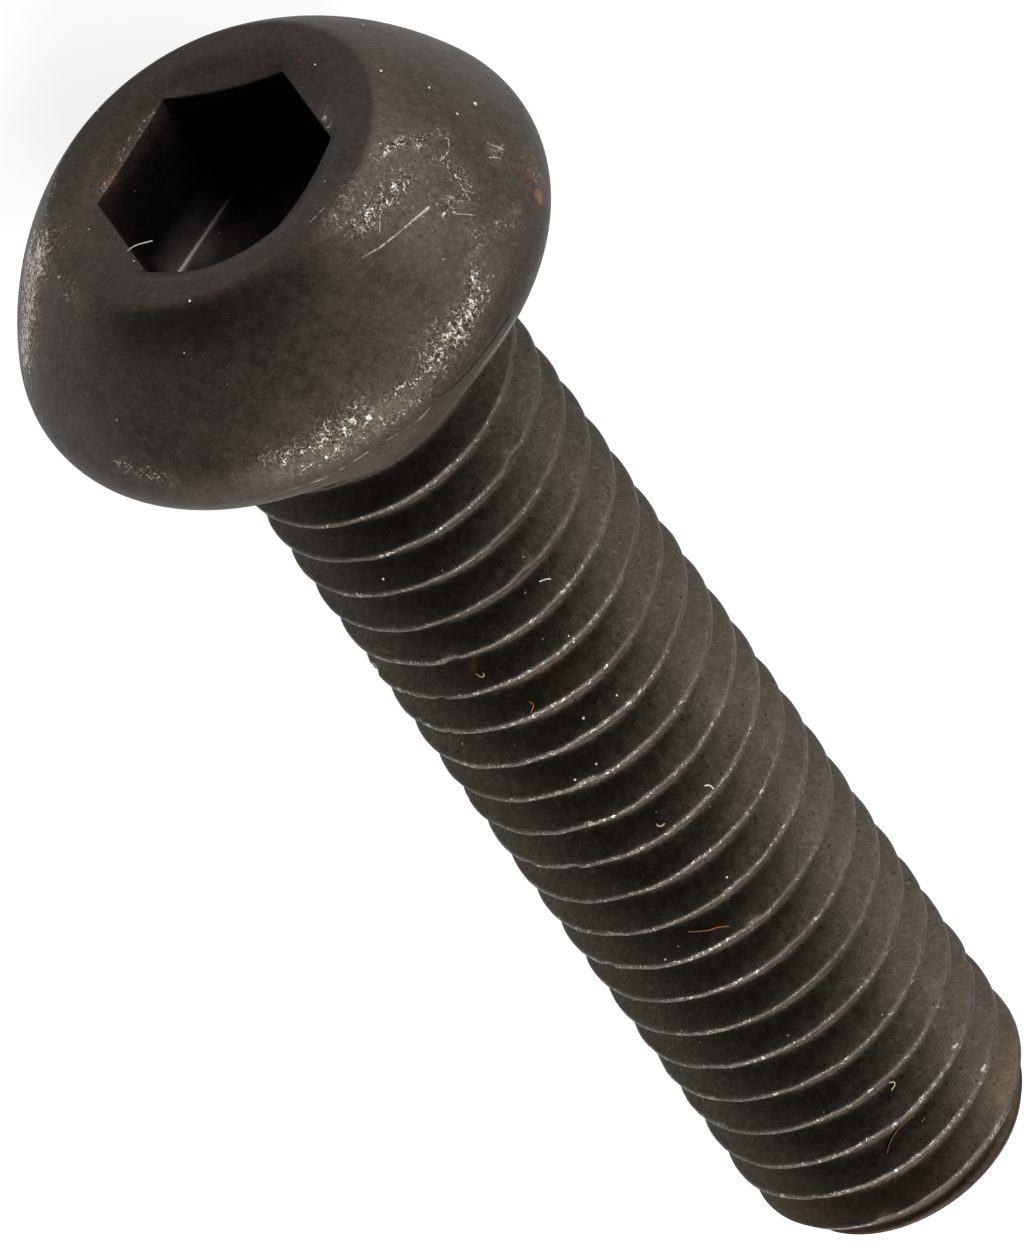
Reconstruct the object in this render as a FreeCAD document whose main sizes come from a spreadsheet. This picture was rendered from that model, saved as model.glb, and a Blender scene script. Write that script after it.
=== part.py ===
import FreeCAD, Part
import math
import os
from enum import IntEnum, auto
import Sketcher

# Button head cap screw with a hexagon socket. Millimetres. In the screw's own frame the axis is Z,
# the bearing face under the head is at height 0, the head stands above it and the shank hangs
# below. The shank has the diameter of the thread's crests: the fine thread that runs along all of
# it is left to the scene. The finished screw is laid down as it comes to rest: on the rim of its
# head and on the end of its shank.

DIMENSIONS = {
    "head_diameter": 10.4,
    "head_height": 3.92,
    "flat_diameter": 6.56,
    "dome_radius": 6.54,
    "rim_radius": 1.235,
    "rim_height": 0.95,
    "socket_width": 4.06,
    "socket_depth": 2.8,
    "socket_point_depth": 0.7,
    "mouth_diameter": 5.34,
    "mouth_slope": 30.0,
    "shank_length": 24.53,
    "shank_diameter": 5.84,
    "neck_diameter": 5.3,
    "neck_length": 0.35,
    "neck_fillet": 0.3,
    "tip_diameter": 4.9,
    "tip_length": 0.83,
}

# Sketch references to the origin and both axes
ORIGIN = -1
HORIZONTAL_AXIS = -1
VERTICAL_AXIS = -2


class Spot(IntEnum):
    """The points of an edge that a constraint can hold."""

    START = auto()
    END = auto()
    CENTRE = auto()


class Size:
    """A length or ratio worked out from the sheet: its value now, and the formula that gives it."""

    def __init__(self, value, formula):
        self.value = float(value)
        self.formula = formula

    def combine(self, other, sign, value):
        return Size(value, f"({self.formula} {sign} {as_size(other).formula})")

    def __add__(self, other):
        return self.combine(other, "+", self.value + as_size(other).value)

    def __sub__(self, other):
        return self.combine(other, "-", self.value - as_size(other).value)

    def __mul__(self, other):
        return self.combine(other, "*", self.value * as_size(other).value)

    def __truediv__(self, other):
        return self.combine(other, "/", self.value / as_size(other).value)

    def __neg__(self):
        return self * -1


def as_size(number):
    return number if isinstance(number, Size) else Size(number, str(number))


def sine(angle):
    return Size(math.sin(math.radians(angle.value)), f"sin({angle.formula})")


def cosine(angle):
    return Size(math.cos(math.radians(angle.value)), f"cos({angle.formula})")


def tangent(angle):
    return Size(math.tan(math.radians(angle.value)), f"tan({angle.formula})")


def arcsine(ratio):
    return Size(math.degrees(math.asin(ratio.value)), f"asin({ratio.formula})")


def arctangent(ratio):
    return Size(math.degrees(math.atan(ratio.value)), f"atan({ratio.formula})")


def root(number):
    return Size(math.sqrt(number.value), f"sqrt({number.formula})")


class Profile:
    """A sketch in one of the body's own planes, with its corners and radii tied to the sheet."""

    def __init__(self, body, name, plane_role):
        self.sketch = body.newObject("Sketcher::SketchObject", name)
        plane = next(f for f in body.Origin.OriginFeatures if f.Role == plane_role)
        self.sketch.AttachmentSupport = (plane, "")
        self.sketch.MapMode = "FlatFace"

    def tie(self, kind, *where):
        return self.sketch.addConstraint(Sketcher.Constraint(kind, *where))

    def fix(self, kind, *where, size):
        """Adds a dimension. A negative distance is measured from the edge to the origin."""
        if size.value < 0:
            where = where[2:] + where[:2]
            size = -size
        index = self.tie(kind, *where, size.value)
        self.sketch.setExpression(f"Constraints[{index}]", size.formula)

    def put(self, edge, end, corner):
        """Holds one end of an edge at a corner, given as sizes across and up, 0 being on the axis."""
        for number, kind, axis in (
            (corner[0], "DistanceX", VERTICAL_AXIS),
            (corner[1], "DistanceY", HORIZONTAL_AXIS),
        ):
            if isinstance(number, Size):
                self.fix(kind, ORIGIN, Spot.START, edge, end, size=number)
            else:
                self.tie("PointOnObject", edge, end, axis)

    def line(self, start, end):
        ends = [FreeCAD.Vector(as_size(x).value, as_size(y).value, 0) for x, y in (start, end)]
        return self.sketch.addGeometry(Part.LineSegment(*ends), False)

    def arc(self, centre, radius, start_angle, end_angle):
        """An arc, anticlockwise, with its angles in degrees."""
        circle = Part.Circle(FreeCAD.Vector(*centre, 0), FreeCAD.Vector(0, 0, 1), radius)
        ends = (math.radians(start_angle), math.radians(end_angle))
        return self.sketch.addGeometry(Part.ArcOfCircle(circle, *ends), False)

    def polygon(self, corners):
        """A closed outline of straight edges through the corners."""
        edges = [self.line(a, b) for a, b in zip(corners, corners[1:] + corners[:1])]
        for edge, following in zip(edges, edges[1:] + edges[:1]):
            self.tie("Coincident", edge, Spot.END, following, Spot.START)
        for edge, corner in zip(edges, corners):
            self.put(edge, Spot.START, corner)


def angle_of(centre, point):
    return math.degrees(math.atan2(point[1] - centre[1], point[0] - centre[0]))


def dome_centre(edge, rim_centre, dome_radius, rim_radius):
    """Where the dome's arc has its centre, if it starts at the flat's edge and runs into the rim."""
    span = math.dist(edge, rim_centre)
    reach = dome_radius - rim_radius
    along = (dome_radius**2 - reach**2 + span**2) / (2 * span)
    aside = math.sqrt(dome_radius**2 - along**2)
    unit = ((rim_centre[0] - edge[0]) / span, (rim_centre[1] - edge[1]) / span)
    return (edge[0] + along * unit[0] + aside * unit[1], edge[1] + along * unit[1] - aside * unit[0])


os.makedirs("parts", exist_ok=True)
doc = FreeCAD.newDocument("button_head_screw")

sheet = doc.addObject("Spreadsheet::Sheet", "sizes")
for row, (name, number) in enumerate(DIMENSIONS.items(), start=1):
    sheet.set(f"A{row}", name)
    sheet.set(f"B{row}", str(number))
    sheet.setAlias(f"B{row}", name)
doc.recompute()

D = {name: Size(getattr(sheet, name), f"sizes.{name}") for name in DIMENSIONS}
head_radius = D["head_diameter"] / 2
head_height = D["head_height"]
flat_radius = D["flat_diameter"] / 2
rim_radius = D["rim_radius"]
rim_height = D["rim_height"]
shank_length = D["shank_length"]
neck_radius = D["neck_diameter"] / 2
neck_length = D["neck_length"]
fillet = D["neck_fillet"]
tip_radius = D["tip_diameter"] / 2
shank_radius = D["shank_diameter"] / 2

screw = doc.addObject("PartDesign::Body", "screw")
screw.Label = "screw"

# Blank: flat, dome, rounded rim, bearing face, neck, shank and bevelled tip in one turned outline
outline = Profile(screw, "blank_outline", "XZ_Plane")
flat_edge = (flat_radius, head_height)
rim_centre = (head_radius - rim_radius, rim_height)
fillet_top = (neck_radius + fillet, 0)
fillet_foot = (neck_radius, -fillet)
neck_end = (neck_radius, -neck_length)
shank_start = (shank_radius, -neck_length - (shank_radius - neck_radius))
shank_end = (shank_radius, D["tip_length"] - shank_length)
tip_edge = (tip_radius, -shank_length)
tip_middle = (0, -shank_length)
crown = (0, head_height)

flat_point = (flat_radius.value, head_height.value)
rim_point = (rim_centre[0].value, rim_centre[1].value)
dome_point = dome_centre(flat_point, rim_point, D["dome_radius"].value, rim_radius.value)
join_angle = angle_of(dome_point, rim_point)
bearing_angle = -math.degrees(math.asin(rim_height.value / rim_radius.value))
bearing_corner = (
    rim_point[0] + rim_radius.value * math.cos(math.radians(bearing_angle)),
    0,
)

dome = outline.arc(dome_point, D["dome_radius"].value, join_angle, angle_of(dome_point, flat_point))
rim = outline.arc(rim_point, rim_radius.value, bearing_angle, join_angle)
bearing = outline.line(bearing_corner, fillet_top)
fillet_point = (fillet_top[0].value, fillet_foot[1].value)
fillet_arc = outline.arc(fillet_point, fillet.value, 90, 180)
neck = outline.line(fillet_foot, neck_end)
neck_cone = outline.line(neck_end, shank_start)
shank = outline.line(shank_start, shank_end)
bevel = outline.line(shank_end, tip_edge)
tip_face = outline.line(tip_edge, tip_middle)
axis = outline.line(tip_middle, crown)
flat = outline.line(crown, flat_edge)

outline.put(dome, Spot.END, flat_edge)
outline.fix("Radius", dome, size=D["dome_radius"])
outline.tie("Tangent", dome, Spot.START, rim, Spot.END)
outline.put(rim, Spot.CENTRE, rim_centre)
outline.fix("Radius", rim, size=rim_radius)
outline.tie("PointOnObject", rim, Spot.START, HORIZONTAL_AXIS)
outline.tie("Coincident", rim, Spot.START, bearing, Spot.START)
outline.put(bearing, Spot.END, fillet_top)
outline.tie("Coincident", bearing, Spot.END, fillet_arc, Spot.START)
outline.put(fillet_arc, Spot.END, fillet_foot)
outline.tie("Vertical", fillet_arc, Spot.START, fillet_arc, Spot.CENTRE)
outline.tie("Coincident", fillet_arc, Spot.END, neck, Spot.START)
for edge, following, corner in (
    (neck, neck_cone, neck_end),
    (neck_cone, shank, shank_start),
    (shank, bevel, shank_end),
    (bevel, tip_face, tip_edge),
    (tip_face, axis, tip_middle),
    (axis, flat, crown),
):
    outline.tie("Coincident", edge, Spot.END, following, Spot.START)
    outline.put(edge, Spot.END, corner)
outline.tie("Coincident", flat, Spot.END, dome, Spot.END)

blank = screw.newObject("PartDesign::Revolution", "blank")
blank.Profile = outline.sketch
blank.ReferenceAxis = (outline.sketch, ["V_Axis"])
blank.Angle = 360
doc.recompute()

# Socket: a hexagon with one corner on the screw's X, a countersunk mouth and the punch's point
mouth = Profile(screw, "mouth_section", "XZ_Plane")
mouth_radius = D["mouth_diameter"] / 2
mouth_depth = mouth_radius * tangent(D["mouth_slope"])
mouth.polygon([(0, head_height), (mouth_radius, head_height), (0, head_height - mouth_depth)])
countersink = screw.newObject("PartDesign::Groove", "countersink")
countersink.Profile = mouth.sketch
countersink.ReferenceAxis = (mouth.sketch, ["V_Axis"])
countersink.Angle = 360
doc.recompute()

hexagon = Profile(screw, "hexagon", "XY_Plane")
hexagon.sketch.setExpression("AttachmentOffset.Base.z", head_height.formula)
half_width = D["socket_width"] / 2
corner_radius = D["socket_width"] / root(as_size(3))
hexagon.polygon(
    [
        (corner_radius, 0),
        (corner_radius / 2, half_width),
        (-corner_radius / 2, half_width),
        (-corner_radius, 0),
        (-corner_radius / 2, -half_width),
        (corner_radius / 2, -half_width),
    ]
)
socket = screw.newObject("PartDesign::Pocket", "socket")
socket.Profile = hexagon.sketch
socket.Type = "Length"
socket.setExpression("Length", D["socket_depth"].formula)
doc.recompute()

point = Profile(screw, "point_section", "XZ_Plane")
floor_height = head_height - D["socket_depth"]
point.polygon(
    [
        (0, floor_height),
        (half_width, floor_height),
        (0, floor_height - D["socket_point_depth"]),
    ]
)
punch_point = screw.newObject("PartDesign::Groove", "punch_point")
punch_point.Profile = point.sketch
punch_point.ReferenceAxis = (point.sketch, ["V_Axis"])
punch_point.Angle = 360
doc.recompute()

# Rest: the tilt at which the rim's round and the shank's far end both touch the floor
contact_offset = shank_radius - head_radius + rim_radius
contact_reach = rim_height + shank_length - D["tip_length"]
contact_span = root(contact_offset * contact_offset + contact_reach * contact_reach)
tilt = arcsine(rim_radius / contact_span) - arctangent(contact_offset / contact_reach)
rim_centre_height = (head_radius - rim_radius) * cosine(tilt) + rim_radius
end_to_end = (head_height - shank_length) * cosine(tilt)
lean = (flat_radius - tip_radius) * sine(tilt)
screw.Placement = FreeCAD.Placement(FreeCAD.Vector(), FreeCAD.Rotation(FreeCAD.Vector(0, -1, 0), 90))
screw.setExpression("Placement.Rotation.Angle", f"90 deg - {tilt.formula}")
screw.setExpression("Placement.Base.x", ((end_to_end + lean) / 2).formula)
screw.setExpression("Placement.Base.z", (rim_centre_height - rim_height * sine(tilt)).formula)
doc.recompute()

# Checks and export
for item in doc.Objects:
    if "Invalid" in item.State or "Error" in item.State:
        raise RuntimeError(f"{item.Name} failed: {item.State}")
for body in (screw,):
    if body.Shape.isNull() or not body.Shape.isValid() or len(body.Shape.Solids) != 1:
        raise RuntimeError(f"{body.Label} isn't one valid solid")
    body.Shape.exportStep(f"parts/{body.Label}.step")
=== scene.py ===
import math

import bmesh
import bpy
from mathutils import Euler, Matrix, Vector, geometry, noise


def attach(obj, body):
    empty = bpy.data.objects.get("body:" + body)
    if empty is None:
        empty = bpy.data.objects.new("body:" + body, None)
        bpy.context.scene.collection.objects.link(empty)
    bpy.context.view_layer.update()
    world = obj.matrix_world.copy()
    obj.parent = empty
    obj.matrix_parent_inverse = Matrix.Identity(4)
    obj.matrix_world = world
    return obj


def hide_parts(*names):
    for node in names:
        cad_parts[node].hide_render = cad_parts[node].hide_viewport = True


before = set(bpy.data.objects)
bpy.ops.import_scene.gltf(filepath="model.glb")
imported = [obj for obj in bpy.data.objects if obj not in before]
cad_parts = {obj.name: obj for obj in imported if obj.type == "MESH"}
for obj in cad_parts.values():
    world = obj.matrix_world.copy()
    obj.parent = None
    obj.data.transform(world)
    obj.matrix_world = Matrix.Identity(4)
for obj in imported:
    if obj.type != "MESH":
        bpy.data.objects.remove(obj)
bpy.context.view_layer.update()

# Camera
# A long lens that looks down on the head from half a metre away and rolls the shank into the
# frame's diagonal, as the photograph does.
camera_data = bpy.data.cameras.new("camera")
camera_data.lens = 692.3
camera_data.sensor_width = 36.0
camera_data.clip_start = 0.01
camera = bpy.data.objects.new("camera", camera_data)
camera.location = (-0.251614, -0.000324, 0.361547)
camera.rotation_mode = "QUATERNION"
camera.rotation_quaternion = (0.848641, -0.137268, -0.267767, 0.435048)
bpy.context.scene.collection.objects.link(camera)
bpy.context.scene.camera = camera
bpy.context.scene.view_settings.view_transform = "Standard"

# Table and softboxes
# A matt white table top, which the camera and glossy reflections see as plain white with the
# screw's soft shadow on it. Four round softboxes stand about it: over the tip, low beside the
# head, at the left, and a weaker one at the right.
bpy.ops.object.select_all(action="DESELECT")
bpy.ops.mesh.primitive_plane_add(size=6.0, location=(0, 0, 0))
floor = bpy.context.object
floor.name = "table_top"


def add_node(tree, kind, inputs=None, **settings):
    """Adds a node, each of its inputs given as a value or as the output that is linked to it."""
    added = tree.nodes.new(kind)
    for name, setting in settings.items():
        setattr(added, name, setting)
    for name, given in (inputs or {}).items():
        if isinstance(given, bpy.types.NodeSocket):
            tree.links.new(given, added.inputs[name])
        else:
            added.inputs[name].default_value = given
    return added


white_table = bpy.data.materials.new("white_table")
white_table.use_nodes = True
tree = white_table.node_tree
tree.nodes.clear()
ray = add_node(tree, "ShaderNodeLightPath")
seen = add_node(
    tree,
    "ShaderNodeMath",
    {0: ray.outputs["Is Camera Ray"], 1: ray.outputs["Is Glossy Ray"]},
    operation="MAXIMUM",
)
matt = add_node(tree, "ShaderNodeBsdfDiffuse", {"Color": (0.8, 0.8, 0.8, 1)})
faint = add_node(tree, "ShaderNodeBsdfDiffuse", {"Color": (0.2, 0.2, 0.2, 1)})
white = add_node(tree, "ShaderNodeEmission", {"Color": (1, 1, 1, 1), "Strength": 0.84})
shadowed_white = add_node(tree, "ShaderNodeAddShader", {0: faint.outputs[0], 1: white.outputs[0]})
look = add_node(
    tree,
    "ShaderNodeMixShader",
    {0: seen.outputs[0], 1: matt.outputs[0], 2: shadowed_white.outputs[0]},
)
add_node(tree, "ShaderNodeOutputMaterial", {"Surface": look.outputs[0]})
floor.data.materials.append(white_table)

studio = bpy.data.worlds.new("studio")
bpy.context.scene.world = studio
studio.use_nodes = True
studio.node_tree.nodes["Background"].inputs["Color"].default_value = (1, 1, 1, 1)
studio.node_tree.nodes["Background"].inputs["Strength"].default_value = 0.05


LAMP_DISTANCE = 0.7
LAMP_SIZE = 0.35


def softbox(name, azimuth, elevation, watts):
    """A round lamp that faces the screw, at a bearing from its tip and a height, in degrees."""
    data = bpy.data.lights.new(name, "AREA")
    data.shape = "DISK"
    data.size = LAMP_SIZE
    data.energy = watts
    across = math.cos(math.radians(elevation))
    away = Vector(
        (
            across * math.cos(math.radians(azimuth)),
            across * math.sin(math.radians(azimuth)),
            math.sin(math.radians(elevation)),
        )
    )
    lamp = bpy.data.objects.new(name, data)
    lamp.location = LAMP_DISTANCE * away
    lamp.rotation_mode = "QUATERNION"
    lamp.rotation_quaternion = away.to_track_quat("Z", "Y")
    bpy.context.scene.collection.objects.link(lamp)


softbox("tip_softbox", 0, 65, 3.8)
softbox("low_softbox", 135, 12, 3.6)
softbox("left_softbox", 315, 40, 3.8)
softbox("right_softbox", 90, 40, 2.7)

# Screw
# One piece of alloy steel: its head is cold-forged with the socket in it, its thread is rolled,
# and it is hardened and blackened in a hot oxide bath. It is modelled upright in millimetres,
# with the bearing face under the head at height 0, and laid down at the end.
MM = 0.001
HEAD_HEIGHT = 3.92
FLAT_RADIUS = 3.28
DOME_RADIUS = 6.54
RIM_RADIUS = 1.235
RIM_CENTRE = (3.965, 0.95)
BURR = 0.2
BURR_MIDDLE = -1
BURR_REACH = 14
BURR_DOWN = 0.77
BURR_OUT = 0.63
MOUTH_RADIUS = 2.67
MOUTH_SLOPE = math.tan(math.radians(30))
EDGE_ROUND = 0.03
LIP_ROUND = 0.2
FOOT_ROUND = 0.08
SOCKET_HALF_WIDTH = 2.03
SOCKET_FLOOR = HEAD_HEIGHT - 2.8
PUNCH_DEPTH = 0.7
NECK_RADIUS = 2.65
NECK_LENGTH = 0.35
NECK_FILLET = 0.3
PLAIN_RADIUS = 2.89
SHANK_LENGTH = 24.53
FULL_THREAD = -1.60
RUNOUT = -1.20
CREST_RADIUS = 2.92
TIP_RADIUS = 2.45
TIP_LENGTH = 0.83
PITCH = 1.0
FIRST_CREST = -0.693
TURNS = 26
TURN_STEPS = 160
WELD = 0.001
SIDES = 192
REST_TILT = math.radians(5.29674)
REST_PLACE = (-0.0102227, 0.0, 0.00509537)


def edge_loop_mesh(name, sides, radius, height):
    """Adds a polygon of bare edges about the Z axis, with a corner on X, open for editing."""
    bpy.ops.object.select_all(action="DESELECT")
    bpy.ops.mesh.primitive_circle_add(
        vertices=sides, radius=radius, location=(0, 0, height), rotation=(0, 0, math.pi / 2)
    )
    piece = bpy.context.object
    piece.name = name
    bpy.ops.object.transform_apply(location=True, rotation=True, scale=True)
    bpy.ops.object.mode_set(mode="EDIT")
    bpy.ops.mesh.select_all(action="SELECT")
    return piece


def extrude_ring(start, end):
    """Carries the selected loop from one (radius, height) of a turned outline to the next."""
    bpy.ops.mesh.extrude_region_move(TRANSFORM_OT_translate={"value": (0, 0, end[1] - start[1])})
    scale = end[0] / start[0]
    bpy.ops.transform.resize(value=(scale, scale, 1), center_override=(0, 0, end[1]))


def extrude_outline(outline):
    for start, end in zip(outline, outline[1:]):
        extrude_ring(start, end)


def arc_points(centre, radius, start, end, count):
    """Points along an arc in the outline's plane, leaving out its first end."""
    angles = [start + (end - start) * i / count for i in range(1, count + 1)]
    return [(centre[0] + radius * math.cos(a), centre[1] + radius * math.sin(a)) for a in angles]


def smooth_step(low, high, number):
    share = min(max((number - low) / (high - low), 0.0), 1.0)
    return share * share * (3 - 2 * share)


def selected_points():
    return [v for v in bmesh.from_edit_mesh(bpy.context.object.data).verts if v.select]


def show_moved_points():
    bmesh.update_edit_mesh(bpy.context.object.data)


# Socket: a hexagon loop at the floor, drawn in to the punch's point and out along the walls
floor_half_width = SOCKET_HALF_WIDTH - FOOT_ROUND
floor_circle_radius = floor_half_width - 0.02
floor_corner = floor_half_width / math.cos(math.radians(30))
head = edge_loop_mesh("screw_steel", 6, floor_corner, SOCKET_FLOOR)
bpy.ops.mesh.subdivide(number_cuts=SIDES // 6 - 1)
bpy.ops.mesh.select_all(action="SELECT")
bpy.ops.mesh.extrude_region_move(TRANSFORM_OT_translate={"value": (0, 0, 0)})
for point in selected_points():
    point.co.xy *= floor_circle_radius / point.co.xy.length
show_moved_points()
floor_circle = (floor_circle_radius, SOCKET_FLOOR)
cone_rings = [
    (floor_half_width * share, SOCKET_FLOOR - PUNCH_DEPTH * (1 - share))
    for share in (0.8, 0.5, 0.2)
]
extrude_outline([floor_circle] + cone_rings)
extrude_ring(cone_rings[-1], (0.001, SOCKET_FLOOR - PUNCH_DEPTH))
bpy.ops.mesh.merge(type="CENTER")

# The walls rise to where the countersink's cone meets them, with a small round on that edge
mesh = bmesh.from_edit_mesh(head.data)
for point in mesh.verts:
    on_wall = abs(point.co.z - SOCKET_FLOOR) < 1e-4 and point.co.xy.length > floor_half_width - 0.01
    point.select = on_wall
mesh.select_flush(True)
mesh.select_flush(False)
show_moved_points()
bpy.ops.mesh.select_mode(type="VERT")


def mouth_height(radius):
    """The height of the countersink's cone at a radius."""
    return HEAD_HEIGHT - (MOUTH_RADIUS - radius) * MOUTH_SLOPE


# The countersink was cut a little unevenly: it is deeper at some of the hexagon's corners, counted
# from the one on X, and it dips by a different depth along each wall between them
CORNER_HEIGHTS = (3.65, 3.72, 3.70, 3.84, 3.72, 3.70)
WALL_DIPS = (0.155, 0.07, 0.125, 0.02, 0.02, 0.28)


def edge_height(angle):
    """The height of the hexagon's edge at an angle about the screw's axis."""
    wall, turned = divmod(angle % math.tau, math.radians(60))
    wall = int(wall) % 6
    across = math.tan(turned - math.radians(30)) / math.tan(math.radians(30))
    before, after = CORNER_HEIGHTS[wall], CORNER_HEIGHTS[(wall + 1) % 6]
    between = before * (1 - across) / 2 + after * (1 + across) / 2
    return between - WALL_DIPS[wall] * (1 - across * across)


def rounded_corner(before, corner, after, share):
    """A point on the round between two straight runs of an outline, from its start to its end."""
    rest = 1 - share
    return tuple(
        rest * rest * a + 2 * rest * share * b + share * share * c
        for a, b, c in zip(before, corner, after)
    )


def mouth_point(kind, share, wall, angle):
    """Radius and height of a ring of the socket, at an angle where its wall has a given radius."""
    edge = (wall, edge_height(angle))
    foot = (wall, edge[1] - EDGE_ROUND)
    head_end = (wall + EDGE_ROUND, edge[1] + EDGE_ROUND * 0.5)
    lip = (MOUTH_RADIUS - LIP_ROUND, mouth_height(MOUTH_RADIUS - LIP_ROUND))
    if kind == "foot":
        turn = math.radians(90) * share
        height = SOCKET_FLOOR + FOOT_ROUND * (1 - math.cos(turn))
        return (wall - FOOT_ROUND * (1 - math.sin(turn)), height)
    if kind == "wall":
        return (wall, foot[1] + (SOCKET_FLOOR + FOOT_ROUND - foot[1]) * share)
    if kind == "edge":
        return rounded_corner(foot, edge, head_end, share)
    if kind == "cone":
        return tuple(a + (b - a) * share for a, b in zip(head_end, lip))
    flat_end = (MOUTH_RADIUS + LIP_ROUND, HEAD_HEIGHT)
    return rounded_corner(lip, (MOUTH_RADIUS, HEAD_HEIGHT), flat_end, share)


stations = [("foot", share) for share in (0.25, 0.5, 0.75, 1.0)]
stations += [("wall", share) for share in (0.7, 0.4, 0.2, 0.08, 0.0)]
stations += [("edge", share) for share in (0.2, 0.4, 0.6, 0.8, 1.0)]
stations += [("cone", share) for share in (0.3, 0.65, 1.0)]
stations += [("lip", share) for share in (0.2, 0.4, 0.6, 0.8, 1.0)]
for kind, share in stations:
    bpy.ops.mesh.extrude_region_move(TRANSFORM_OT_translate={"value": (0, 0, 0)})
    for point in selected_points():
        angle = math.atan2(point.co.y, point.co.x)
        corner_turn = (angle % math.radians(60)) - math.radians(30)
        radius, height = mouth_point(kind, share, SOCKET_HALF_WIDTH / math.cos(corner_turn), angle)
        point.co = (radius * math.cos(angle), radius * math.sin(angle), height)
    show_moved_points()

# Flat, dome, rim, bearing face, fillet and neck, one ring after another down the head's outline
flat_point = Vector((FLAT_RADIUS, HEAD_HEIGHT))
rim_point = Vector(RIM_CENTRE)
span = (rim_point - flat_point).length
along = (DOME_RADIUS**2 - (DOME_RADIUS - RIM_RADIUS) ** 2 + span**2) / (2 * span)
aside = math.sqrt(DOME_RADIUS**2 - along**2)
unit = (rim_point - flat_point) / span
dome_point = flat_point + along * unit + aside * Vector((unit.y, -unit.x))
dome_start = math.atan2(flat_point.y - dome_point.y, flat_point.x - dome_point.x)
dome_end = math.atan2(rim_point.y - dome_point.y, rim_point.x - dome_point.x)
bearing_angle = -math.asin(RIM_CENTRE[1] / RIM_RADIUS)
dome_arc = arc_points(dome_point, DOME_RADIUS, dome_start, dome_end, 20)
rim_arc = arc_points(rim_point, RIM_RADIUS, dome_end, bearing_angle, 20)
fillet_centre = (NECK_RADIUS + NECK_FILLET, -NECK_FILLET)
fillet_arc = arc_points(fillet_centre, NECK_FILLET, math.pi / 2, math.pi, 5)
outline = [(MOUTH_RADIUS + LIP_ROUND, HEAD_HEIGHT), (3.0, HEAD_HEIGHT), (3.15, HEAD_HEIGHT)]
outline += [(3.22, HEAD_HEIGHT - 0.003), (FLAT_RADIUS, HEAD_HEIGHT - 0.012)]
outline += dome_arc + rim_arc
outline += [(4.6, 0.0), (4.1, 0.0), (3.5, 0.0), (NECK_RADIUS + NECK_FILLET, 0.0)]
outline += fillet_arc
extrude_outline(outline)
bpy.ops.object.mode_set(mode="OBJECT")

# Forging has left a low burr on the rim's lower edge, over a short arc about the X axis
for point in head.data.vertices:
    angle = math.degrees(math.atan2(point.co.y, point.co.x))
    below_rim = 1 - smooth_step(0.0, 0.5, point.co.z)
    outside = smooth_step(4.0, 4.7, point.co.xy.length)
    burr = BURR * math.exp(-(((angle - BURR_MIDDLE) / BURR_REACH) ** 2)) * below_rim * outside
    point.co.z -= BURR_DOWN * burr
    point.co.xy *= 1 + BURR_OUT * burr / max(point.co.xy.length, 1.0)

# Thread: one pitch of its outline, from root to root past a crest, wound down the shank
half_thread = [
    (0.0, 0.0),
    (0.035, -0.004),
    (0.065, -0.022),
    (0.09, -0.056),
    (0.15, -0.156),
    (0.22, -0.277),
    (0.29, -0.398),
    (0.345, -0.493),
    (0.385, -0.54),
    (0.43, -0.557),
    (0.5, -0.56),
]
pitch_outline = [(-away, CREST_RADIUS + drop) for away, drop in half_thread[:0:-1]]
pitch_outline += [(away, CREST_RADIUS + drop) for away, drop in half_thread]
bpy.ops.object.select_all(action="DESELECT")
bpy.ops.mesh.primitive_plane_add(size=1.0, location=(0, 0, 0))
thread = bpy.context.object
thread.name = "thread"
bpy.ops.object.mode_set(mode="EDIT")
bpy.ops.mesh.select_all(action="SELECT")
bpy.ops.mesh.merge(type="CENTER")
lowest_crest = FIRST_CREST - TURNS + 1
start_height = lowest_crest + pitch_outline[0][0]
for point in selected_points():
    point.co = (pitch_outline[0][1], 0, start_height)
show_moved_points()
for (z0, r0), (z1, r1) in zip(pitch_outline, pitch_outline[1:]):
    bpy.ops.mesh.extrude_region_move(TRANSFORM_OT_translate={"value": (r1 - r0, 0, z1 - z0)})
bpy.ops.object.mode_set(mode="OBJECT")
winding = thread.modifiers.new("winding", "SCREW")
winding.axis = "Z"
winding.angle = math.tau
winding.screw_offset = PITCH
winding.iterations = TURNS
winding.steps = TURN_STEPS
winding.render_steps = TURN_STEPS
winding.use_merge_vertices = True
winding.merge_threshold = WELD
bpy.ops.object.modifier_apply(modifier="winding")

bpy.ops.object.mode_set(mode="EDIT")
bpy.ops.mesh.select_all(action="SELECT")
bpy.ops.mesh.remove_doubles(threshold=WELD)
bpy.ops.mesh.select_all(action="SELECT")
bpy.ops.mesh.bisect(plane_co=(0, 0, -NECK_LENGTH), plane_no=(0, 0, 1), clear_outer=True)
bpy.ops.mesh.select_all(action="SELECT")
bpy.ops.mesh.bisect(plane_co=(0, 0, -SHANK_LENGTH), plane_no=(0, 0, -1), clear_outer=True)
bpy.ops.object.mode_set(mode="OBJECT")

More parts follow.
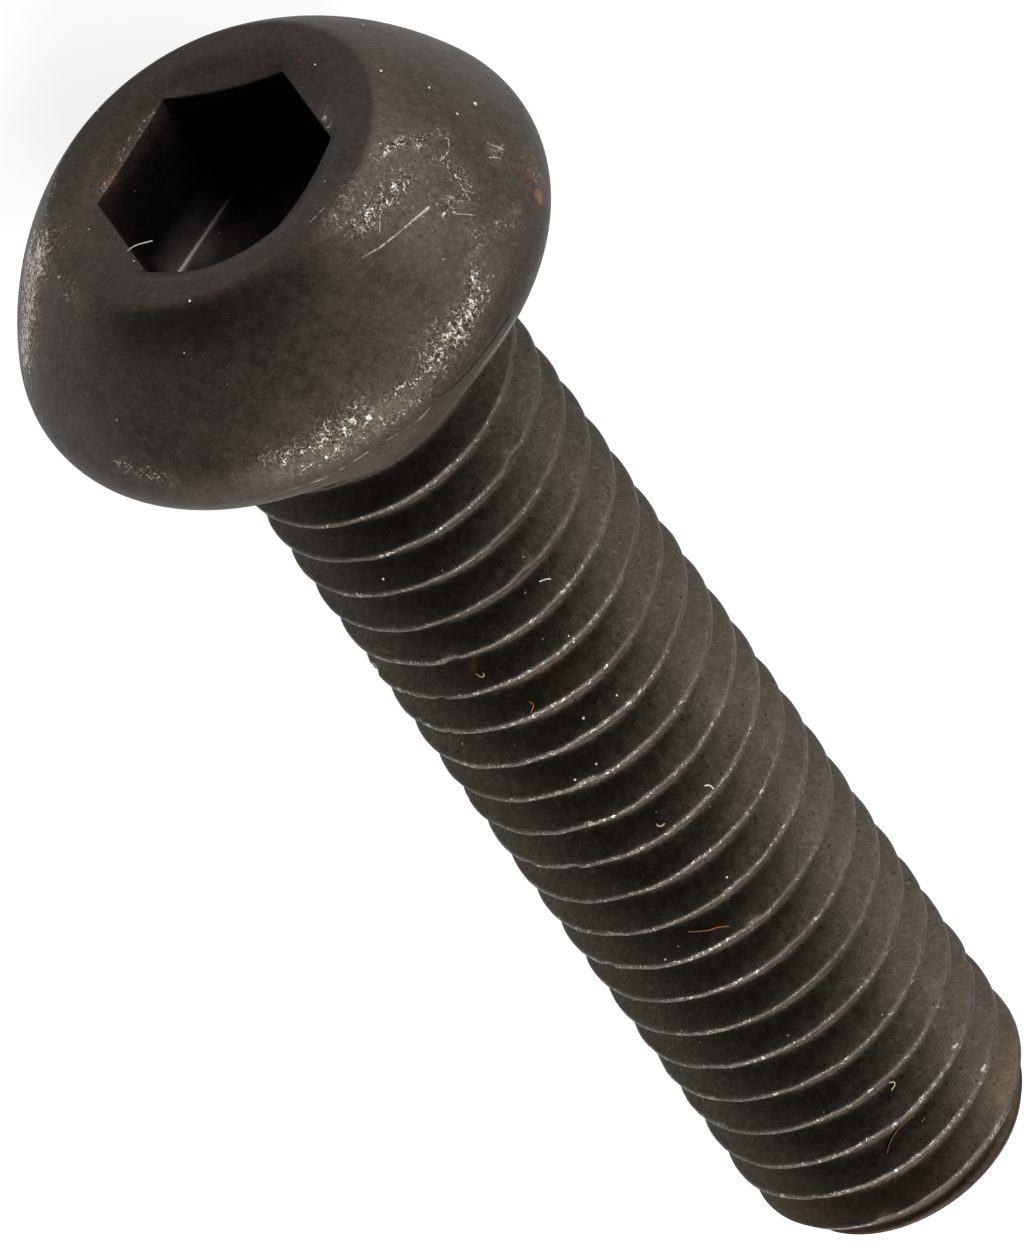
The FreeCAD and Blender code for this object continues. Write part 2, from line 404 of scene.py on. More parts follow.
# Rolling leaves the crests uneven, and handling has nicked them. The groove runs out on a plain
# length under the head, and the bevel cuts the thread at the tip.
rubbed = []
for point in thread.data.vertices:
    radius = point.co.xy.length
    handled = 0.8 + 0.6 * noise.noise(point.co * 0.55 + Vector((1.0, 6.0, 2.0)))
    handled *= 1 - 0.5 * smooth_step(0.9, 2.3, point.co.y)
    handled *= 1 - smooth_step(-2.4, -1.9, point.co.z)
    handled *= 0.75 + 0.25 * smooth_step(-5.0, -9.0, point.co.z)
    handled *= smooth_step(0.1 - SHANK_LENGTH, 0.6 - SHANK_LENGTH, point.co.z)
    rubbed.append(handled * smooth_step(CREST_RADIUS - 0.04, CREST_RADIUS - 0.003, radius))
    crest = smooth_step(CREST_RADIUS - 0.12, CREST_RADIUS - 0.02, radius)
    swell = noise.noise(point.co * 0.9) * 0.02 + noise.noise(point.co * 3.1) * 0.008
    nick = smooth_step(0.46, 0.6, noise.noise(point.co * 1.7 + Vector((9.0, 4.0, 2.0))))
    lap = noise.noise(point.co * 1.6 + Vector((3.0, 8.0, 5.0))) * 0.04
    crest *= smooth_step(NECK_LENGTH, NECK_LENGTH + 0.3, -point.co.z)
    crest *= smooth_step(-SHANK_LENGTH, 0.3 - SHANK_LENGTH, point.co.z)
    point.co.z += crest * lap
    finished = min(radius + crest * (swell - nick * 0.06), CREST_RADIUS)
    full = 1 - smooth_step(FULL_THREAD, RUNOUT, point.co.z)
    at_neck = smooth_step(-0.65, -NECK_LENGTH, point.co.z)
    plain = PLAIN_RADIUS + (NECK_RADIUS - PLAIN_RADIUS) * at_neck
    finished = plain + (finished - plain) * full
    share = max(0.0, (TIP_LENGTH - SHANK_LENGTH - point.co.z) / TIP_LENGTH)
    finished = min(finished, CREST_RADIUS + (TIP_RADIUS - CREST_RADIUS) * share)
    point.co.xy *= finished / radius
thread.data.attributes.new("crest", "FLOAT", "POINT").data.foreach_set("value", rubbed)

# The end face: the cut edge is drawn in to a shallow dish
bpy.ops.object.mode_set(mode="EDIT")
bpy.ops.mesh.select_all(action="DESELECT")
mesh = bmesh.from_edit_mesh(thread.data)
for edge in mesh.edges:
    edge.select = edge.is_boundary and max(v.co.z for v in edge.verts) < 0.01 - SHANK_LENGTH
show_moved_points()
for radius, rise in ((2.2, 0.0), (1.6, 0.0), (0.8, 0.02), (0.1, 0.04)):
    bpy.ops.mesh.extrude_region_move(TRANSFORM_OT_translate={"value": (0, 0, 0)})
    for point in selected_points():
        point.co.xy *= radius / point.co.xy.length
        point.co.z = rise - SHANK_LENGTH
    show_moved_points()
bpy.ops.mesh.merge(type="CENTER")
bpy.ops.object.mode_set(mode="OBJECT")

# Head and thread become one skin, joined at the neck
bpy.ops.object.select_all(action="DESELECT")
thread.select_set(True)
head.select_set(True)
bpy.context.view_layer.objects.active = head
bpy.ops.object.join()
bpy.ops.object.mode_set(mode="EDIT")
bpy.ops.mesh.select_all(action="DESELECT")
mesh = bmesh.from_edit_mesh(head.data)
for edge in mesh.edges:
    edge.select = edge.is_boundary
show_moved_points()
bpy.ops.mesh.bridge_edge_loops()
bpy.ops.mesh.select_all(action="SELECT")
bpy.ops.mesh.normals_make_consistent(inside=False)
bpy.ops.object.mode_set(mode="OBJECT")
bpy.ops.object.shade_smooth()

# Wear: lengths of skin where the oxide is rubbed through, each with its reach and how hard
WORN_TRAILS = (
    (0.30, 0.80, ((3.39, 1.50, 3.50), (3.07, 2.20, 3.45), (2.88, 2.63, 3.32))),
    (0.13, 1.25, ((2.95, 2.50, 3.36), (2.84, 2.68, 3.30))),
    (0.22, 0.60, ((3.30, 1.10, 3.80), (2.74, 1.87, 3.89))),
    (0.55, 0.32, ((2.75, 2.95, 3.15), (3.45, 2.45, 2.85))),
    (0.18, 0.70, ((2.43, 2.48, 3.75), (2.24, 2.86, 3.60), (2.20, 3.13, 3.41), (2.26, 3.31, 3.20))),
    (0.22, 0.70, ((2.49, 3.42, 2.93), (2.85, 3.54, 2.49), (3.17, 3.30, 2.44), (3.30, 2.98, 2.64))),
    (0.20, 0.80, ((2.06, 4.37, 2.01), (2.31, 4.22, 2.04))),
    (0.30, 0.60, ((2.13, 4.67, 1.37), (2.33, 4.62, 1.21))),
    (0.16, 0.65, ((3.19, 3.96, 1.47), (3.61, 3.44, 1.70))),
    (0.20, 0.50, ((3.53, 3.18, 2.16), (3.94, 2.96, 1.82))),
    (0.30, 0.95, ((4.25, 2.67, 1.61), (4.45, 2.46, 1.47), (4.79, 1.84, 1.38))),
    (0.42, 1.00, ((4.79, 1.84, 1.36), (4.98, 1.25, 1.35))),
    (0.17, 0.85, ((4.98, 1.25, 1.35), (5.10, 0.73, 1.29), (5.14, 0.20, 1.34))),
    (0.36, 0.85, ((5.11, -0.40, 1.38), (5.08, -0.85, 1.34), (4.98, -1.26, 1.34))),
    (0.22, 0.80, ((4.98, -1.26, 1.34), (4.79, -1.82, 1.34), (4.62, -2.20, 1.41))),
    (
        0.22,
        0.65,
        ((4.85, -1.86, 0.95), (5.03, -1.31, 0.92), (5.15, -0.69, 0.95), (5.17, 0.60, 0.95)),
    ),
    (0.60, 0.25, ((4.75, 1.90, 1.00), (5.10, 0.00, 1.00), (4.70, -2.00, 1.00))),
    (0.22, 0.75, ((2.59, -4.36, 1.51), (3.37, -3.86, 1.38))),
    (
        0.65,
        1.30,
        ((-0.97, -3.45, 3.65), (-1.05, -3.74, 3.34), (-0.85, -4.15, 2.92), (-0.87, -4.63, 2.21)),
    ),
    (0.60, 1.10, ((-1.69, -3.50, 3.34), (-1.00, -4.40, 2.55))),
    (0.05, 0.90, ((-2.32, -2.32, 3.92), (-1.64, -2.84, 3.92), (-0.85, -3.16, 3.92))),
    (0.12, 0.60, ((-2.20, -0.35, 3.82), (-1.85, -1.10, 3.80), (-1.35, -1.85, 3.76))),
    (0.10, 0.95, ((0.45, 2.22, 3.72), (0.90, 2.10, 3.76))),
    (0.15, 0.75, ((2.18, 2.87, 3.63), (2.12, 3.31, 3.29), (2.01, 3.72, 2.94))),
    (0.12, 0.50, ((3.41, 3.26, 2.21), (3.83, 2.96, 1.98), (4.14, 2.69, 1.79))),
    (0.22, 0.50, ((-0.50, -3.40, 3.78), (0.95, -3.27, 3.81))),
    (0.30, 0.75, ((-4.95, 1.20, 1.40), (-5.03, -0.80, 1.45))),
    (0.30, 0.65, ((-2.50, 3.60, 2.90), (-3.10, 3.00, 2.90))),
)
# Painted shade: a darker band on the dome's shoulder beside the flat
SHOULDER_SHADE_TRAIL = ((2.25, -2.75, 3.68), (3.06, -1.75, 3.70), (3.58, -0.84, 3.62), (3.62, 0.10, 3.64))
RUST_SPOTS = (
    (0.22, 1.15, (2.69, 4.44, 1.06)),
    (0.50, 0.30, (2.40, 4.55, 1.30)),
    (0.14, 0.8, (-1.45, -1.62, 3.74)),
    (0.07, 0.7, (-0.84, 2.41, 3.88)),
    (0.16, 1.0, (2.04, -1.46, -7.49)),
    (0.25, 0.6, (2.60, -0.30, -8.30)),
    (1.00, 0.30, (-1.20, -4.20, 2.80)),
    (0.45, 0.5, (1.70, 2.30, -23.9)),
    (0.30, 0.25, (0.90, 2.70, -21.2)),
    (0.30, 0.35, (1.70, 2.10, -24.3)),
    (0.30, 0.35, (2.40, 1.10, -24.3)),
)
# Painted highlight: a bright glint along the foot of one socket wall, brightest at its first point
SOCKET_GLINT_TRAIL = ((-1.35, -1.72, 1.15), (-1.78, -0.98, 1.15), (-2.25, -0.16, 1.15))


def distance_to_trail(point, trail):
    nearest = []
    for start, end in zip(trail, trail[1:]):
        foot, share = geometry.intersect_point_line(point, Vector(start), Vector(end))
        foot = Vector(start).lerp(Vector(end), min(max(share, 0.0), 1.0))
        nearest.append((point - foot).length)
    return min(nearest)


def paint_skin(name, amount_at):
    """Keeps an amount at every point of the screw's skin, for its finish to read."""
    layer = head.data.attributes.new(name, "FLOAT", "POINT")
    layer.data.foreach_set("value", [amount_at(v.co) for v in head.data.vertices])


def worn_amount(point):
    if point.z < -NECK_LENGTH:
        return 0.0
    return max(
        hard * math.exp(-((distance_to_trail(point, trail) / reach) ** 2))
        for reach, hard, trail in WORN_TRAILS
    )


def rust_amount(point):
    return max(
        hard * math.exp(-(((point - Vector(centre)).length / reach) ** 2))
        for reach, hard, centre in RUST_SPOTS
    )


def shoulder_shade_amount(point):
    beside_flat = smooth_step(FLAT_RADIUS - 0.03, FLAT_RADIUS + 0.05, point.xy.length)
    toward_left = 0.6 + 0.4 * smooth_step(0.5, -1.8, point.y)
    near = math.exp(-((distance_to_trail(point, SHOULDER_SHADE_TRAIL) / 0.6) ** 2))
    return 0.68 * beside_flat * toward_left * near


def socket_glint_amount(point):
    along = (point.y + 0.16) / -1.56
    near = math.exp(-((distance_to_trail(point, SOCKET_GLINT_TRAIL) / 0.11) ** 2))
    return near * (0.35 + 0.65 * min(max(along, 0.0), 1.0))


paint_skin("worn", worn_amount)
paint_skin("shoulder_shade", shoulder_shade_amount)
paint_skin("socket_glint", socket_glint_amount)
paint_skin("rust", rust_amount)

# Black oxide: a warm, nearly black film over bright steel, matt and finely grained
DEEP_OXIDE = (0.044, 0.035, 0.028, 1)
WARM_OXIDE = (0.062, 0.050, 0.041, 1)
MOTTLED_OXIDE = (0.084, 0.069, 0.057, 1)
PALE_OXIDE = (0.088, 0.073, 0.061, 1)
RIM_PAINTED_LIGHT = (0.088, 0.070, 0.054, 1)
THREAD_OXIDE = (0.047, 0.040, 0.030, 1)
WARM_THREAD = (0.070, 0.060, 0.046, 1)
PALE_THREAD = (0.100, 0.088, 0.068, 1)
LIT_THREAD = (0.104, 0.090, 0.070, 1)
GRAINY_THREAD = (0.110, 0.096, 0.075, 1)
SHADED_THREAD = (0.024, 0.023, 0.022, 1)
TIP_BROWN = (0.140, 0.092, 0.058, 1)
BEVEL_OXIDE = (0.034, 0.027, 0.020, 1)
EDGE_BROWN = (0.105, 0.062, 0.034, 1)
SOCKET_PAINTED_SHADE = (0.0135, 0.0113, 0.0095, 1)
FLAT_TOP_PAINTED_SHADE = (0.036, 0.029, 0.025, 1)
SHOULDER_PAINTED_SHADE = (0.012, 0.0095, 0.008, 1)
PIT_BLACK = (0.014, 0.012, 0.009, 1)
GRAIN_BLACK = (0.014, 0.011, 0.009, 1)
GRAIN_BROWN = (0.150, 0.126, 0.102, 1)
THIN_OXIDE = (0.155, 0.128, 0.103, 1)
BARE_STEEL = (0.46, 0.42, 0.36, 1)
SPECK_BLACK = (0.008, 0.007, 0.006, 1)
RUBBED_CREST = (0.125, 0.109, 0.096, 1)
NICKED_CREST = (0.60, 0.56, 0.50, 1)
SEAM_BLACK = (0.015, 0.012, 0.009, 1)
SCRATCHED_STEEL_AND_GLINT = (0.42, 0.41, 0.39, 1)
RUST = (0.15, 0.060, 0.024, 1)
SOCKET_PAINTED_GLINT = (0.34, 0.30, 0.275, 1)
PALE_DUST = (0.62, 0.58, 0.50, 1)

oxide = bpy.data.materials.new("black_oxide_steel")
oxide.use_nodes = True
tree = oxide.node_tree
shader = tree.nodes["Principled BSDF"]
place = add_node(tree, "ShaderNodeTexCoord").outputs["Object"]
mm = add_node(
    tree,
    "ShaderNodeMapping",
    {
        "Vector": place,
        "Location": REST_PLACE,
        "Rotation": (0, REST_TILT - math.pi / 2, 0),
        "Scale": (MM, MM, MM),
    },
    vector_type="TEXTURE",
).outputs[0]
side_mm = add_node(tree, "ShaderNodeSeparateXYZ", {0: mm})
height_mm = side_mm.outputs["Z"]
flat_mm = add_node(tree, "ShaderNodeVectorMath", {0: mm, 1: (1, 1, 0)}, operation="MULTIPLY")
radius_mm = add_node(
    tree, "ShaderNodeVectorMath", {0: flat_mm.outputs[0]}, operation="LENGTH"
).outputs["Value"]


def sums(operation, first, second=0.5, clamp=False):
    return add_node(
        tree, "ShaderNodeMath", {0: first, 1: second}, operation=operation, use_clamp=clamp
    ).outputs[0]


def climb(amount, low, high, start=0.0, end=1.0):
    """A smooth climb from start to end as an amount goes from low to high, level outside that."""
    return add_node(
        tree,
        "ShaderNodeMapRange",
        {"Value": amount, "From Min": low, "From Max": high, "To Min": start, "To Max": end},
        interpolation_type="SMOOTHSTEP",
    ).outputs[0]


def grain(per_mm, detail=2.0, roughness=0.5, shift=0.0, curl=0.0):
    """Noise on the screw's skin, with so many grains to the millimetre."""
    shifted = add_node(
        tree, "ShaderNodeVectorMath", {0: mm, 1: (shift, shift, shift)}, operation="ADD"
    ).outputs[0]
    return add_node(
        tree,
        "ShaderNodeTexNoise",
        {
            "Vector": shifted,
            "Scale": per_mm,
            "Detail": detail,
            "Roughness": roughness,
            "Distortion": curl,
        },
    ).outputs["Fac"]


def coat(share, under, over):
    """Lays one colour over another by a share."""
    mixed = add_node(tree, "ShaderNodeMix", {0: share, 6: under, 7: over}, data_type="RGBA")
    return mixed.outputs[2]


def painted(name):
    return add_node(tree, "ShaderNodeAttribute", attribute_name=name).outputs["Fac"]


def hairline_or_glint(start, end, width, end_width):
    """A thin line on the skin between two points, with its width at each: it draws the hairlines in
    the oxide and also the painted highlight along the rim's lower edge.
    """
    along = Vector(end) - Vector(start)
    scaled = along / along.length_squared

    def vectors(operation, inputs):
        return add_node(tree, "ShaderNodeVectorMath", inputs, operation=operation).outputs

    from_start = vectors("SUBTRACT", {0: mm, 1: start})[0]
    dot = vectors("DOT_PRODUCT", {0: from_start, 1: scaled})["Value"]
    gone = sums("ADD", dot, 0.0, clamp=True)
    foot = vectors("SCALE", {0: along, "Scale": gone})[0]
    away = vectors("DISTANCE", {0: from_start, 1: foot})["Value"]
    edge = climb(gone, 0.0, 1.0, width, end_width)
    return climb(sums("DIVIDE", away, edge), 1.0, 0.2)


coarse = grain(0.9, detail=3)
mottle = grain(4.0, detail=4, roughness=0.65)
fine = grain(10.0, detail=3, roughness=0.65, shift=3.0, curl=1.2)
speckle = grain(12.0, detail=1, shift=7.0)
skin = grain(7.0, detail=3, roughness=0.6, shift=11.0)
uneven = climb(grain(3.0, shift=5.0), 0.25, 0.6, 0.55, 1.2)
crest = sums("MULTIPLY", painted("crest"), uneven, clamp=True)
crest = sums("MULTIPLY", crest, climb(radius_mm, 2.62, 2.80, 0.2, 1.0))
worn = painted("worn")
rust = painted("rust")

film = coat(climb(coarse, 0.35, 0.65), DEEP_OXIDE, WARM_OXIDE)
film = coat(climb(mottle, 0.38, 0.68, 0.0, 0.5), film, MOTTLED_OXIDE)
film = coat(climb(skin, 0.45, 0.70, 0.0, 0.6), film, PALE_OXIDE)
# Painted light: the lowest part of the rim, with the bearing face and neck below it, is painted
# lighter on the side that faces up.
rim_side_facing_up = climb(side_mm.outputs["X"], 1.5, 3.5, 0.0, 0.5)
rim_painted_light = sums("MULTIPLY", climb(height_mm, 0.58, 0.48), rim_side_facing_up)
film = coat(rim_painted_light, film, RIM_PAINTED_LIGHT)
on_thread = climb(height_mm, -1.45, -1.75)
thread_film = coat(climb(mottle, 0.35, 0.70), THREAD_OXIDE, WARM_THREAD)
thread_film = coat(climb(skin, 0.50, 0.72, 0.0, 0.7), thread_film, PALE_THREAD)
# Painted light: the thread's right side is painted lighter, fading out towards the head.
right_side = climb(side_mm.outputs["Y"], 0.6, 2.2, 0.0, 0.28)
lit_side = sums("MULTIPLY", right_side, climb(height_mm, -3.0, -15.0))
thread_film = coat(lit_side, thread_film, LIT_THREAD)
finest = climb(grain(15.0, detail=3, roughness=0.7, shift=21.0), 0.50, 0.68, 0.0, 0.25)
thread_film = coat(finest, thread_film, GRAINY_THREAD)
# Painted shade: the thread nearest the head is painted darker, most on its left side.
left_side = climb(side_mm.outputs["Y"], 2.8, -0.5, 0.5, 1.0)
shaded = sums("MULTIPLY", climb(height_mm, -9.0, -2.0, 0.0, 0.35), left_side)
thread_film = coat(shaded, thread_film, SHADED_THREAD)
film = coat(on_thread, film, thread_film)
film = coat(climb(height_mm, -22.0, -23.8, 0.0, 0.25), film, TIP_BROWN)
bevel = sums("MULTIPLY", climb(height_mm, -23.75, -24.05), climb(radius_mm, 2.93, 2.80))
film = coat(sums("MULTIPLY", bevel, 0.7), film, BEVEL_OXIDE)
browned = sums("MULTIPLY", climb(height_mm, -24.34, -24.5, 0.0, 0.6), climb(radius_mm, 2.15, 2.38))
film = coat(browned, film, EDGE_BROWN)
# Painted shade: the top of the head inside the flat's edge, with the countersink and socket, is
# painted darker.
ring = sums("MULTIPLY", climb(radius_mm, 3.285, 3.255), climb(height_mm, 0.5, 0.9))
# Painted shade: the socket's walls and floor are painted near black for the shade inside the
# recess; the end face at the tip is kept out of it.
inside = sums("MULTIPLY", climb(radius_mm, 2.45, 2.05), climb(height_mm, 3.6, 3.3))
inside = sums("MULTIPLY", inside, climb(height_mm, -24.3, -24.0))
film = coat(inside, film, SOCKET_PAINTED_SHADE)
film = coat(sums("MULTIPLY", ring, 0.45), film, FLAT_TOP_PAINTED_SHADE)
# Painted shade: the darker band on the dome's shoulder beside the flat.
film = coat(painted("shoulder_shade"), film, SHOULDER_PAINTED_SHADE)
pits = sums("MULTIPLY", climb(speckle, 0.33, 0.26), climb(on_thread, 0.0, 1.0, 0.25, 0.75))
film = coat(pits, film, PIT_BLACK)
film = coat(climb(fine, 0.56, 0.40, 0.0, 0.20), film, GRAIN_BLACK)
film = coat(climb(fine, 0.52, 0.68, 0.0, 0.12), film, GRAIN_BROWN)

# Rubbed through: grains of bright steel among black specks, closer together where it is worn harder
haze = sums("MULTIPLY", sums("MULTIPLY", worn, 0.65, clamp=True), climb(fine, 0.36, 0.56, 0.1, 1.0))
film = coat(haze, film, THIN_OXIDE)
threshold = sums("SUBTRACT", 0.69, sums("MULTIPLY", worn, 0.22))
bright = climb(sums("SUBTRACT", fine, threshold), 0.0, 0.16)
bright = sums("MULTIPLY", bright, climb(worn, 0.05, 0.3))
film = coat(bright, film, BARE_STEEL)
specks = climb(grain(20.0, detail=1, shift=15.0), 0.42, 0.36)
black_specks = sums("MULTIPLY", specks, climb(worn, 0.3, 0.8, 0.0, 0.8))
film = coat(black_specks, film, SPECK_BLACK)

# The crests are burnished along their whole length, with brighter nicks
film = coat(crest, film, RUBBED_CREST)
nicks = sums("MULTIPLY", climb(fine, 0.53, 0.72), climb(crest, 0.25, 0.8))
film = coat(nicks, film, NICKED_CREST)


def drawn(lines):
    """Several such lines together, hairlines in the oxide and painted highlights, each given as its
    two ends and its width at each.
    """
    together = None
    for start, end, width, end_width in lines:
        line = hairline_or_glint(start, end, width, end_width)
        together = line if together is None else sums("MAXIMUM", together, line)
    return together


scratches_and_edge_glint = drawn(
    (
        ((3.32, 2.70, 2.86), (3.61, 2.04, 3.03), 0.038, 0.032),
        ((3.61, 2.04, 3.03), (3.75, 1.60, 3.12), 0.032, 0.020),
        ((3.75, 1.60, 3.12), (3.81, 1.15, 3.23), 0.022, 0.008),
        ((3.33, 1.93, 3.38), (3.56, 1.75, 3.25), 0.010, 0.008),
        ((3.40, 3.32, 2.15), (3.41, 3.03, 2.46), 0.016, 0.010),
        ((2.10, 3.72, 2.87), (2.33, 3.61, 2.85), 0.014, 0.020),
        ((2.33, 3.61, 2.85), (2.49, 3.45, 2.90), 0.024, 0.020),
        ((2.49, 3.45, 2.90), (2.57, 3.32, 2.97), 0.018, 0.008),
        ((3.01, 0.85, 3.92), (2.91, 1.22, 3.92), 0.022, 0.010),
        ((2.87, 3.42, 2.61), (3.18, 3.39, 2.33), 0.014, 0.020),
        ((2.04, 4.25, 2.21), (2.09, 4.41, 1.91), 0.030, 0.020),
        ((2.33, 4.13, 2.16), (2.29, 4.27, 1.98), 0.030, 0.024),
        # Painted highlight: these four lines paint a bright glint along the lower edge of the rim.
        ((4.14, 2.82, 0.27), (4.31, 2.58, 0.29), 0.060, 0.055),
        ((4.31, 2.58, 0.29), (4.45, 2.31, 0.28), 0.055, 0.045),
        ((4.45, 2.31, 0.28), (4.57, 2.08, 0.29), 0.040, 0.026),
        ((4.57, 2.08, 0.29), (4.78, 1.56, 0.29), 0.026, 0.010),
        ((2.36, 1.63, -21.52), (2.31, 1.74, -21.54), 0.055, 0.030),
        ((2.21, 1.84, -22.51), (2.15, 1.93, -22.51), 0.050, 0.035),
        ((2.91, -0.10, -20.67), (2.92, -0.01, -20.68), 0.050, 0.030),
        ((2.77, 0.93, -21.63), (2.73, 1.03, -21.64), 0.045, 0.025),
    )
)
scratches_and_edge_glint = sums("MULTIPLY", scratches_and_edge_glint, climb(fine, 0.38, 0.58, 0.15, 0.9))
rim_line = drawn(
    (
        ((4.58, -2.31, 0.54), (4.84, -1.59, 0.45), 0.028, 0.032),
        ((4.84, -1.59, 0.45), (4.99, -1.16, 0.51), 0.032, 0.026),
        ((4.99, -1.16, 0.51), (5.11, -0.58, 0.59), 0.026, 0.026),
        ((5.11, -0.58, 0.59), (5.13, -0.03, 0.54), 0.024, 0.020),
        ((5.13, -0.03, 0.54), (5.10, 0.40, 0.49), 0.016, 0.018),
        ((5.10, 0.40, 0.49), (5.08, 0.90, 0.63), 0.020, 0.012),
    )
)
rim_line = sums("MULTIPLY", rim_line, climb(mottle, 0.44, 0.62, 0.0, 0.9))
parting_line = drawn(
    (
        ((5.08, 0.90, 0.63), (4.95, 1.38, 0.55), 0.030, 0.044),
        ((4.95, 1.38, 0.55), (4.78, 1.90, 0.57), 0.044, 0.056),
        ((4.78, 1.90, 0.57), (4.51, 2.47, 0.59), 0.056, 0.060),
        ((4.51, 2.47, 0.59), (4.33, 2.78, 0.59), 0.060, 0.040),
    )
)
film = coat(sums("MULTIPLY", parting_line, 0.85), film, SEAM_BLACK)
# Bright steel for the hairlines and nicks, and for the painted highlight along the rim's lower
# edge.
film = coat(sums("MAXIMUM", scratches_and_edge_glint, rim_line), film, SCRATCHED_STEEL_AND_GLINT)

film = coat(sums("MULTIPLY", rust, climb(skin, 0.38, 0.58)), film, RUST)
# Painted highlight: the glint at the foot of one socket wall.
film = coat(painted("socket_glint"), film, SOCKET_PAINTED_GLINT)

# Dust
dust_cells = add_node(tree, "ShaderNodeTexVoronoi", {"Vector": mm, "Scale": 1.8})
dust = climb(dust_cells.outputs["Distance"], 0.034, 0.016)
film = coat(dust, film, PALE_DUST)
tree.links.new(film, shader.inputs["Base Color"])
covered = sums("ADD", dust, sums("MULTIPLY", rust, 0.6))
tree.links.new(climb(covered, 0.2, 0.8, 1.0, 0.0), shader.inputs["Metallic"])

gloss = climb(mottle, 0.3, 0.7, 0.55, 0.66)
gloss = sums("SUBTRACT", gloss, sums("MULTIPLY", sums("MAXIMUM", bright, nicks), 0.2))
tree.links.new(gloss, shader.inputs["Roughness"])

relief = sums("MULTIPLY", mottle, 0.012)
rough = climb(sums("MAXIMUM", worn, crest), 0.0, 0.8, 0.003, 0.02)
relief = sums("ADD", relief, sums("MULTIPLY", fine, rough))
bump = add_node(tree, "ShaderNodeBump", {"Height": relief, "Distance": MM, "Strength": 1.0})
tree.links.new(bump.outputs[0], shader.inputs["Normal"])
head.data.materials.append(oxide)

# Laid down as it comes to rest: on the rim of the head and the last full turn of the thread
head.scale = (MM, MM, MM)
head.rotation_euler = (0, REST_TILT - math.pi / 2, 0)
head.location = REST_PLACE
bpy.ops.object.transform_apply(location=True, rotation=True, scale=True)
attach(head, "root")
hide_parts("screw")

# Lint and dust
# Fibres from packing cloth and pale crumbs that cling to the oiled steel. Each fibre is a thin
# round thread laid on the screw's skin, and each crumb a small uneven grain.
FIBRES = {
    "orange_lint": (
        (0.42, 0.16, 0.04),
        0.022,
        (
            (
                (2.28, -1.07, -15.47),
                (2.50, -0.82, -15.52),
                (2.60, -0.57, -15.52),
                (2.72, -0.41, -15.56),
            ),
            (
                (2.51, -0.97, -8.56),
                (2.58, -0.93, -8.59),
                (2.64, -0.99, -8.63),
                (2.66, -1.14, -8.73),
            ),
        ),
    ),
    "brown_lint": (
        (0.22, 0.105, 0.04),
        0.017,
        (
            (
                (2.57, -0.49, -22.48),
                (2.49, -0.40, -22.43),
                (2.41, -0.20, -22.35),
                (2.37, 0.04, -22.28),
                (2.36, 0.33, -22.29),
            ),
            ((2.52, 0.36, -22.39), (2.49, 0.48, -22.38)),
        ),
    ),
    "golden_lint": (
        (0.60, 0.50, 0.27),
        0.026,
        (
            (
                (2.42, 0.30, -21.22),
                (2.40, 0.40, -21.27),
                (2.44, 0.36, -21.35),
                (2.46, 0.25, -21.36),
            ),
            (
                (2.20, -1.45, -7.56),
                (2.29, -1.43, -7.60),
                (2.34, -1.34, -7.59),
                (2.28, -1.35, -7.56),
            ),
            ((2.70, -0.40, -12.55), (2.79, -0.39, -12.60), (2.78, -0.27, -12.58)),
        ),
    ),
    "white_lint": (
        (0.80, 0.78, 0.72),
        0.026,
        (
            (
                (2.67, 0.72, -12.50),
                (2.68, 0.79, -12.52),
                (2.74, 0.82, -12.57),
                (2.77, 0.81, -12.60),
            ),
            ((2.50, 0.44, -6.39), (2.52, 0.56, -6.40), (2.58, 0.64, -6.44)),
            ((2.80, 0.30, -7.57), (2.87, 0.30, -7.64), (2.88, 0.31, -7.72)),
            (
                (0.43, -2.09, 3.73),
                (0.46, -1.99, 3.77),
                (0.52, -1.85, 3.78),
                (0.60, -1.73, 3.78),
                (0.64, -1.62, 3.76),
            ),
        ),
    ),
}
CRUMBS = (
    (0.055, (0.50, 3.45, 3.74)),
    (0.045, (0.92, 3.97, 3.12)),
    (0.075, (1.13, 4.47, 2.38)),
    (0.055, (1.51, 4.10, 2.74)),
    (0.045, (2.81, -1.70, 3.90)),
    (0.040, (-0.56, 2.57, 3.88)),
    (0.050, (2.01, -1.81, -4.62)),
    (0.055, (2.86, 0.41, -8.70)),
    (0.045, (2.70, 0.38, -9.50)),
    (0.050, (2.66, -0.35, -9.51)),
    (0.055, (2.58, -1.13, -10.65)),
    (0.045, (2.66, -0.65, -10.57)),
    (0.050, (2.76, 0.08, -14.54)),
    (0.045, (2.27, -1.71, -15.71)),
    (0.045, (1.10, -2.40, -9.66)),
)


def laid_down(point):
    """Where a point on the upright screw, in millimetres, is once the screw lies down."""
    turned = Vector(point)
    turned.rotate(Euler((0, REST_TILT - math.pi / 2, 0)))
    return turned * MM + Vector(REST_PLACE)


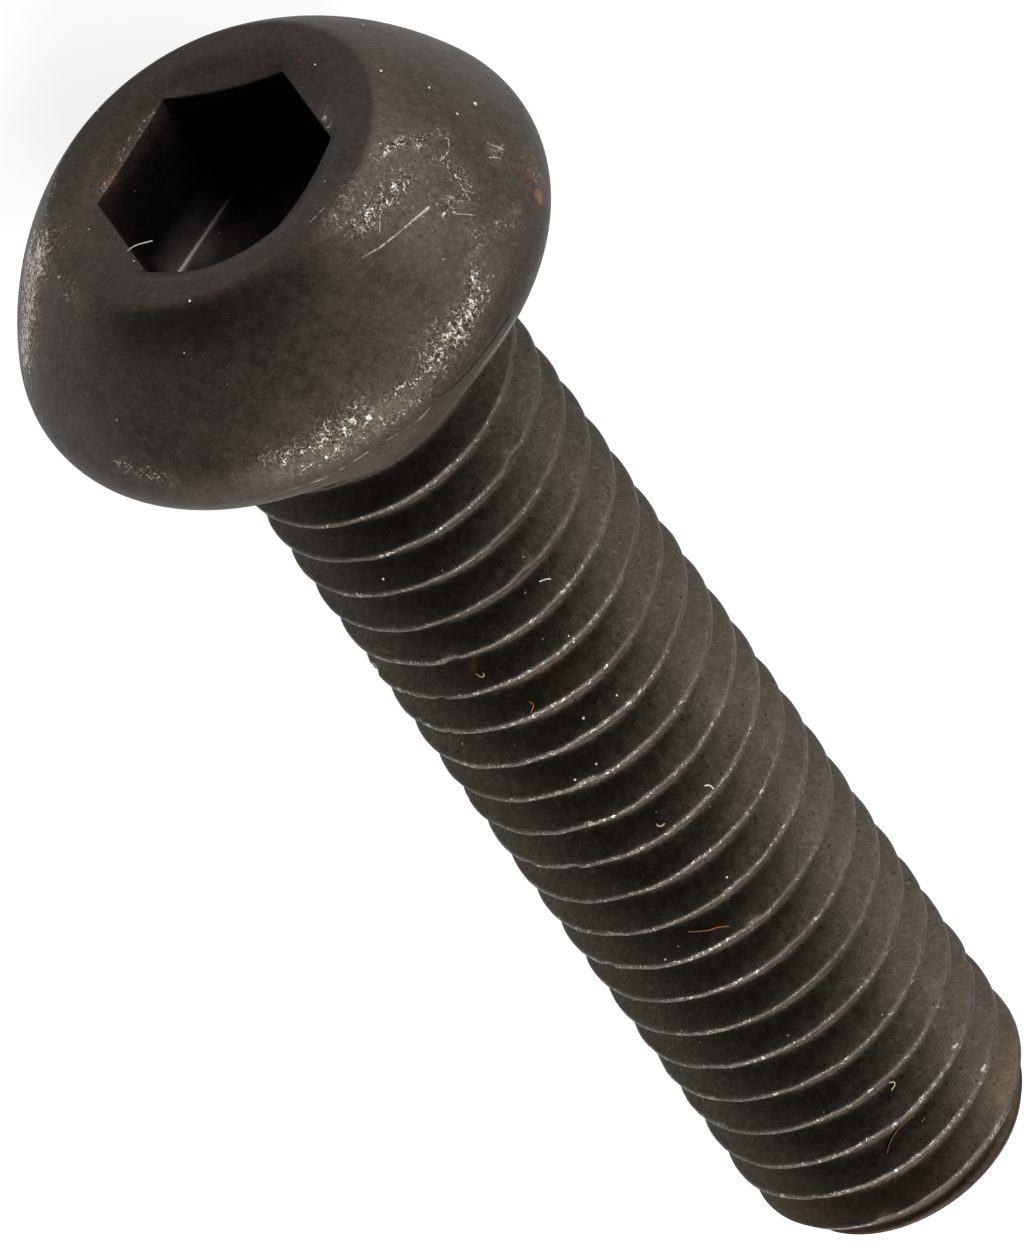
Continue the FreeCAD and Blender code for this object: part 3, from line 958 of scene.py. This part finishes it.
def fluff_finish(name, colour):
    finish = bpy.data.materials.new(name)
    finish.use_nodes = True
    tree = finish.node_tree
    place = add_node(tree, "ShaderNodeTexCoord").outputs["Object"]
    patches = add_node(
        tree, "ShaderNodeTexNoise", {"Vector": place, "Scale": 9000.0, "Detail": 2.0}
    ).outputs["Fac"]
    dull = tuple(0.6 * part for part in colour)
    shade = add_node(
        tree, "ShaderNodeMix", {0: patches, 6: dull + (1,), 7: colour + (1,)}, data_type="RGBA"
    )
    shader = tree.nodes["Principled BSDF"]
    tree.links.new(shade.outputs[2], shader.inputs["Base Color"])
    shader.inputs["Roughness"].default_value = 0.8
    return finish


for name, (colour, thickness, routes) in FIBRES.items():
    strands = bpy.data.curves.new(name, "CURVE")
    strands.dimensions = "3D"
    strands.bevel_depth = thickness * MM / 2
    strands.bevel_resolution = 2
    strands.use_fill_caps = True
    strands.resolution_u = 6
    for route in routes:
        strand = strands.splines.new("NURBS")
        strand.points.add(len(route) - 1)
        for knot, point in zip(strand.points, route):
            knot.co = (*(laid_down(point) + Vector((0, 0, 0.6 * thickness * MM))), 1)
        strand.use_endpoint_u = True
        strand.order_u = 3
    lint = bpy.data.objects.new(name, strands)
    bpy.context.scene.collection.objects.link(lint)
    bpy.ops.object.select_all(action="DESELECT")
    lint.select_set(True)
    bpy.context.view_layer.objects.active = lint
    bpy.ops.object.convert(target="MESH")
    bpy.ops.object.shade_smooth()
    lint.data.materials.clear()
    lint.data.materials.append(fluff_finish(name, colour))
    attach(lint, "root")

bpy.ops.object.select_all(action="DESELECT")
crumbs = []
for size, point in CRUMBS:
    bpy.ops.mesh.primitive_ico_sphere_add(
        subdivisions=2, radius=size * MM / 2, location=laid_down(point)
    )
    crumb = bpy.context.object
    for corner in crumb.data.vertices:
        corner.co *= 1 + 0.5 * noise.noise(corner.co * 30000 + Vector(point))
    crumbs.append(crumb)
bpy.ops.object.select_all(action="DESELECT")
for crumb in crumbs:
    crumb.select_set(True)
bpy.context.view_layer.objects.active = crumbs[0]
bpy.ops.object.join()
bpy.ops.object.transform_apply(location=True, rotation=True, scale=True)
bpy.ops.object.shade_smooth()
dust_crumbs = bpy.context.object
dust_crumbs.name = "dust_crumbs"
dust_crumbs.data.materials.append(fluff_finish("pale_dust", (0.72, 0.69, 0.62)))
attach(dust_crumbs, "root")
